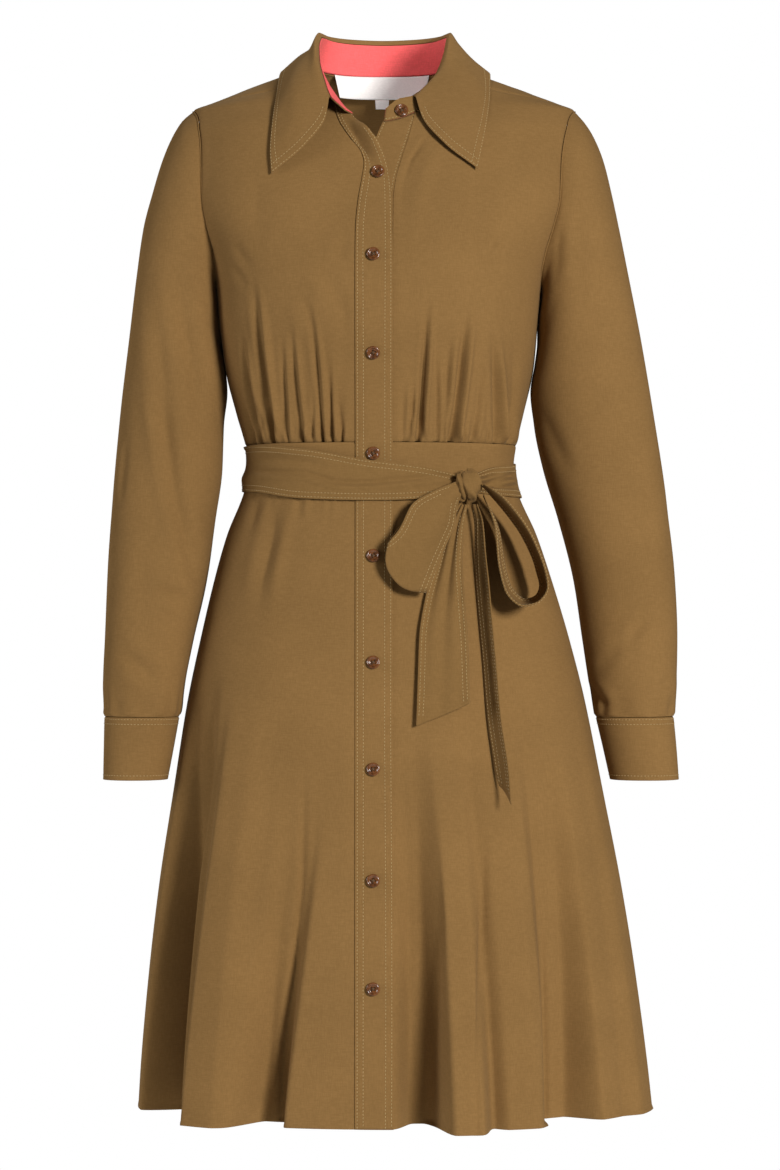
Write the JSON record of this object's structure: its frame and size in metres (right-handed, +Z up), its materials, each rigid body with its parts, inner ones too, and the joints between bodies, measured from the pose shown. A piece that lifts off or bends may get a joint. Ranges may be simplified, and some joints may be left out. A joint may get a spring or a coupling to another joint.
{
  "type": "shirt dress",
  "caption": "Knee-length shirt dress in worn, hollow form, with a point collar, buttoned front, cuffed long sleeves, a flared skirt and a sash belt tied in a bow.",
  "frame": {"origin": "between the shoulders, 5 mm above the neck seam at the sides of the neck", "axes": "+Z up, -Y out of the buttoned front, +X towards the wearer's left"},
  "size_m": [0.5444, 0.362, 1.0202],
  "materials": {
    "khaki_crepe": "fine matt crepe, olive tan",
    "belt_satin": "slightly lustrous crepe, darker tan",
    "coral_facing": "plain coral cotton",
    "white_label": "white woven tape, bare",
    "tortoise_plastic": "dark brown polished resin"
  },
  "bodies": {
    "root": {"front_right": "khaki_crepe", "front_left": "khaki_crepe", "back": "khaki_crepe", "waistband_right": "khaki_crepe", "waistband_left": "khaki_crepe", "waistband_back": "khaki_crepe", "skirt_front_right": "khaki_crepe", "skirt_front_left": "khaki_crepe", "skirt_back": "khaki_crepe", "placket_over": "khaki_crepe", "placket_under": "khaki_crepe", "sleeve_right": "khaki_crepe", "sleeve_left": "khaki_crepe", "cuff_right": "khaki_crepe", "cuff_left": "khaki_crepe", "collar_stand": "khaki_crepe", "collar": "khaki_crepe", "belt_wrap": "belt_satin", "belt_loop_right": "belt_satin", "belt_loop_left": "belt_satin", "belt_tail_right": "belt_satin", "belt_tail_left": "belt_satin", "belt_knot": "belt_satin", "stand_facing": "coral_facing", "neck_label": "white_label", "size_tab": "white_label", "button_1": "tortoise_plastic", "button_2": "tortoise_plastic", "button_3": "tortoise_plastic", "button_4": "tortoise_plastic", "button_5": "tortoise_plastic", "button_6": "tortoise_plastic", "button_7": "tortoise_plastic", "button_8": "tortoise_plastic", "button_9": "tortoise_plastic", "button_10": "tortoise_plastic", "cuff_button_right": "tortoise_plastic", "cuff_button_left": "tortoise_plastic"}
  },
  "joints": []
}
